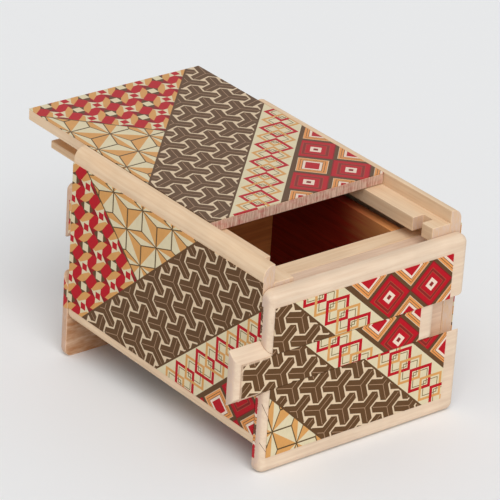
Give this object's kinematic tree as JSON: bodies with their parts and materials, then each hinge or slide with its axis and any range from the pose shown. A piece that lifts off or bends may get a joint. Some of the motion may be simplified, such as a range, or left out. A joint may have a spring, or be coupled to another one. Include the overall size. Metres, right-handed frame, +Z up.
{
  "type": "wooden secret box",
  "caption": "Marquetry-covered wooden puzzle box, shown part open: sliding lid drawn back, end panels dropped and their key strips slid out sideways.",
  "frame": {"origin": "middle of the underside of the closed box, on the face of the base", "axes": "+X along the box, towards the end where the opening is; +Y across the box, from the front long side to the rear one; +Z up"},
  "size_m": [0.1453, 0.1102, 0.0816],
  "materials": {
    "pale_wood": "satin varnish",
    "marquetry_veneer": "glossy lacquer over geometric marquetry in cream, tan, brown and red woods",
    "brown_wood": "plain, lightly varnished",
    "dark_inner_wood": "dark red-brown stain",
    "plain_inner_wood": "bare"
  },
  "bodies": {
    "carcass": {"base_board": "pale_wood", "base_veneer": "pale_wood", "floor_inner": "dark_inner_wood", "guide_left": "plain_inner_wood", "guide_right": "plain_inner_wood", "ledge_front": "pale_wood", "ledge_rear": "pale_wood", "side_front": "pale_wood", "side_front_veneer": "marquetry_veneer", "side_rear": "pale_wood", "side_rear_veneer": "marquetry_veneer", "wall_front": "dark_inner_wood", "wall_left": "dark_inner_wood", "wall_rear": "dark_inner_wood", "wall_right": "dark_inner_wood"},
    "lid": {"lid_board": "pale_wood", "lid_veneer": "marquetry_veneer", "lid_neck": "brown_wood", "lid_flange": "brown_wood"},
    "right_end": {"right_lower": "pale_wood", "right_upper": "pale_wood", "right_lower_veneer": "marquetry_veneer", "right_upper_veneer": "marquetry_veneer", "right_batten": "plain_inner_wood", "right_retainer": "plain_inner_wood"},
    "right_key": {"right_key": "pale_wood", "right_key_veneer": "marquetry_veneer", "right_key_lug": "plain_inner_wood"},
    "left_end": {"left_lower": "pale_wood", "left_upper": "pale_wood", "left_lower_veneer": "marquetry_veneer", "left_upper_veneer": "marquetry_veneer", "left_batten": "plain_inner_wood", "left_retainer": "plain_inner_wood"},
    "left_key": {"left_key": "pale_wood", "left_key_veneer": "marquetry_veneer", "left_key_lug": "plain_inner_wood"}
  },
  "joints": [
    {"name": "lid_slide", "type": "slide", "parent": "carcass", "child": "lid", "axis": [1, 0, 0], "range_m": [-0.045, 0.035]},
    {"name": "right_end_slide", "type": "slide", "parent": "carcass", "child": "right_end", "axis": [0, 0, 1], "range_m": [0, 0.008]},
    {"name": "right_key_slide", "type": "slide", "parent": "right_end", "child": "right_key", "axis": [0, 1, 0], "range_m": [0, 0.0126]},
    {"name": "left_end_slide", "type": "slide", "parent": "carcass", "child": "left_end", "axis": [0, 0, 1], "range_m": [0, 0.0014]},
    {"name": "left_key_slide", "type": "slide", "parent": "left_end", "child": "left_key", "axis": [0, -1, 0], "range_m": [0, 0.0126]}
  ]
}
